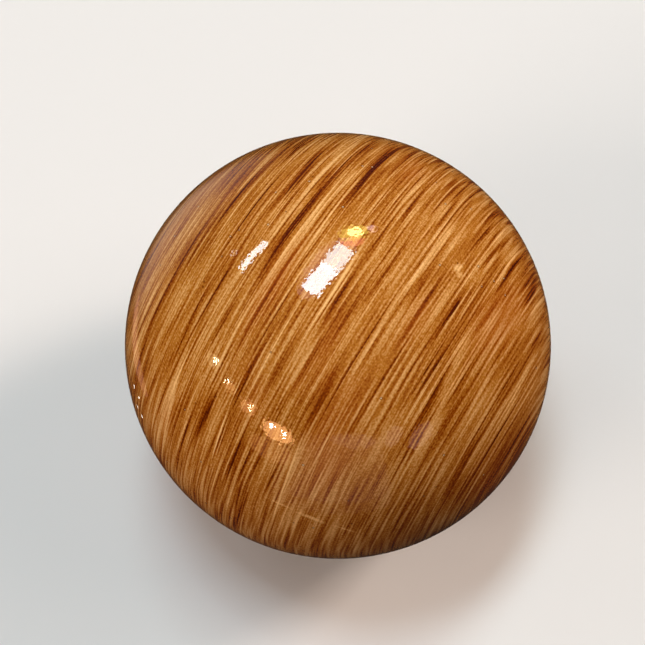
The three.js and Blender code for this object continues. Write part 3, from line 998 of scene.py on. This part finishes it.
def add_lamp(eye, outline, name, first, second, width, radiance, hex_colour):
    """Hangs an area lamp whose mirror image runs from one place on the ball to another."""
    ends = []
    for place in (first, second):
        point, direction = eye.mirrored(*place)
        ends.append(point + direction * LAMP_DISTANCE)
    middle = (ends[0] + ends[1]) / 2
    outward = (middle - BALL_CENTRE).normalized()
    along = (ends[1] - ends[0]).normalized()
    along = (along - outward * along.dot(outward)).normalized()
    lamp = bpy.data.lights.new(name, "AREA")
    lamp.shape = outline
    lamp.size = (ends[1] - ends[0]).length
    lamp.size_y = lamp.size * width / math.dist(first, second)
    lamp.energy = radiance * math.pi * lamp.size * lamp.size_y
    lamp.color = linear(hex_colour)[:3]
    made = bpy.data.objects.new(name, lamp)
    turned = Matrix((along, outward.cross(along), outward)).transposed()
    made.matrix_world = Matrix.Translation(middle) @ turned.to_4x4()
    made.visible_camera = False
    bpy.context.scene.collection.objects.link(made)
    return made


class FRICTIONBALL_OT_stage(bpy.types.Operator):
    """Set up the camera, the pale floor and the soft light"""

    bl_idname = "frictionball.stage"
    bl_label = "Studio"

    def execute(self, context):
        studio = context.scene.friction_studio
        eye = Eye(studio)
        camera = bpy.data.objects.new("camera", bpy.data.cameras.new("camera"))
        camera.data.lens, camera.data.sensor_width = studio.lens, 36.0
        camera.data.clip_start, camera.data.clip_end = 0.01, 20.0
        aim = BALL_CENTRE + (eye.up * AIM_ABOVE - eye.right * AIM_LEFT) * BALL_RADIUS
        camera.location = eye.place
        camera.rotation_mode = "QUATERNION"
        camera.rotation_quaternion = (aim - eye.place).to_track_quat("-Z", "Y")
        context.scene.collection.objects.link(camera)
        context.scene.camera = camera

        board = bmesh.new()
        bmesh.ops.create_circle(board, cap_ends=True, segments=96, radius=studio.floor_radius)
        floor = as_object("studio_floor", board)
        material, tree, _ = new_material("matt_studio_board")
        shader = add(tree, "BsdfPrincipled", {
            "Base Color": studio.floor[:], "Roughness": 0.95, "Specular IOR Level": 0.0,
        })
        add(tree, "OutputMaterial", {"Surface": shader})
        floor.data.materials.append(material)
        # The board gives the ball its shadow but no light from below: the room does that
        floor.visible_glossy = False
        floor.visible_diffuse = False

        for lamp in SQUARE_LAMPS:
            add_lamp(eye, "RECTANGLE", *lamp)
        for lamp in ROUND_LAMPS:
            add_lamp(eye, "ELLIPSE", *lamp).visible_diffuse = False
        for fill in FILLS:
            add_lamp(eye, "RECTANGLE", *fill).visible_glossy = False

        world = bpy.data.worlds.new("studio")
        world.use_nodes = True
        tree = world.node_tree
        tree.nodes.clear()
        facing = add(tree, "TexCoord").outputs["Generated"]
        level = studio.room_dim
        for side, start, end, radiance in (
            (OVERHEAD, -0.1, 0.9, studio.room_overhead),
            (PALE_SIDE, 0.87, 1.0, studio.room_side),
        ):
            turned = add(
                tree, "VectorMath", {0: facing, 1: side}, operation="DOT_PRODUCT"
            )
            glow = add(tree, "MapRange", {
                "Value": turned.outputs["Value"], "From Min": start, "From Max": end,
                "To Min": 0.0, "To Max": radiance,
            }, **SMOOTH)
            level = add(tree, "Math", {0: glow, 1: level}, operation="ADD")
        room = add(tree, "Background", {"Color": studio.room[:], "Strength": level})
        seen = add(tree, "Background", {
            "Color": studio.backdrop[:], "Strength": studio.backdrop_level,
        })
        rays = add(tree, "LightPath")
        either = add(tree, "MixShader", {
            0: rays.outputs["Is Camera Ray"], 1: room, 2: seen,
        })
        add(tree, "OutputWorld", {"Surface": either})
        context.scene.world = world
        context.scene.view_settings.view_transform = "Standard"
        return {"FINISHED"}


class FRICTIONBALL_PT_panel(bpy.types.Panel):
    """Lists the pieces of the friction ball and their settings"""

    bl_idname = "FRICTIONBALL_PT_panel"
    bl_label = "Friction ball"
    bl_space_type = "VIEW_3D"
    bl_region_type = "UI"
    bl_category = "Friction ball"

    def draw(self, context):
        for operators, settings in PANEL_ROWS:
            box = self.layout.box()
            for operator in operators:
                box.operator(operator.bl_idname)
            group = getattr(context.scene, settings)
            for name in group.bl_rna.properties.keys():
                if name not in ("rna_type", "name"):
                    box.prop(group, name)


SETTINGS = {
    "friction_grip": GripSettings,
    "friction_pad_piece": PadSettings,
    "friction_cup": CupSettings,
    "friction_fixings": FixingSettings,
    "friction_studio": StudioSettings,
}
PANEL_ROWS = (
    ((FRICTIONBALL_OT_grip,), "friction_grip"),
    ((FRICTIONBALL_OT_pad,), "friction_pad_piece"),
    ((FRICTIONBALL_OT_cup,), "friction_cup"),
    (
        (FRICTIONBALL_OT_screw, FRICTIONBALL_OT_washer, FRICTIONBALL_OT_insert, FRICTIONBALL_OT_pins),
        "friction_fixings",
    ),
    ((FRICTIONBALL_OT_stage,), "friction_studio"),
)
OPERATORS = [operator for operators, _ in PANEL_ROWS for operator in operators]


def register():
    for group in (*SETTINGS.values(), *OPERATORS, FRICTIONBALL_PT_panel):
        bpy.utils.register_class(group)
    for name, group in SETTINGS.items():
        setattr(bpy.types.Scene, name, bpy.props.PointerProperty(type=group))


def unregister():
    for name in SETTINGS:
        delattr(bpy.types.Scene, name)
    for group in reversed((*SETTINGS.values(), *OPERATORS, FRICTIONBALL_PT_panel)):
        bpy.utils.unregister_class(group)


def main():
    """Builds every piece and the stage."""
    register()
    bpy.ops.frictionball.grip()
    bpy.ops.frictionball.pad()
    bpy.ops.frictionball.cup()
    bpy.ops.frictionball.screw()
    bpy.ops.frictionball.washer()
    bpy.ops.frictionball.insert()
    bpy.ops.frictionball.pins()
    bpy.ops.frictionball.stage()


if __name__ == "__main__":
    main()
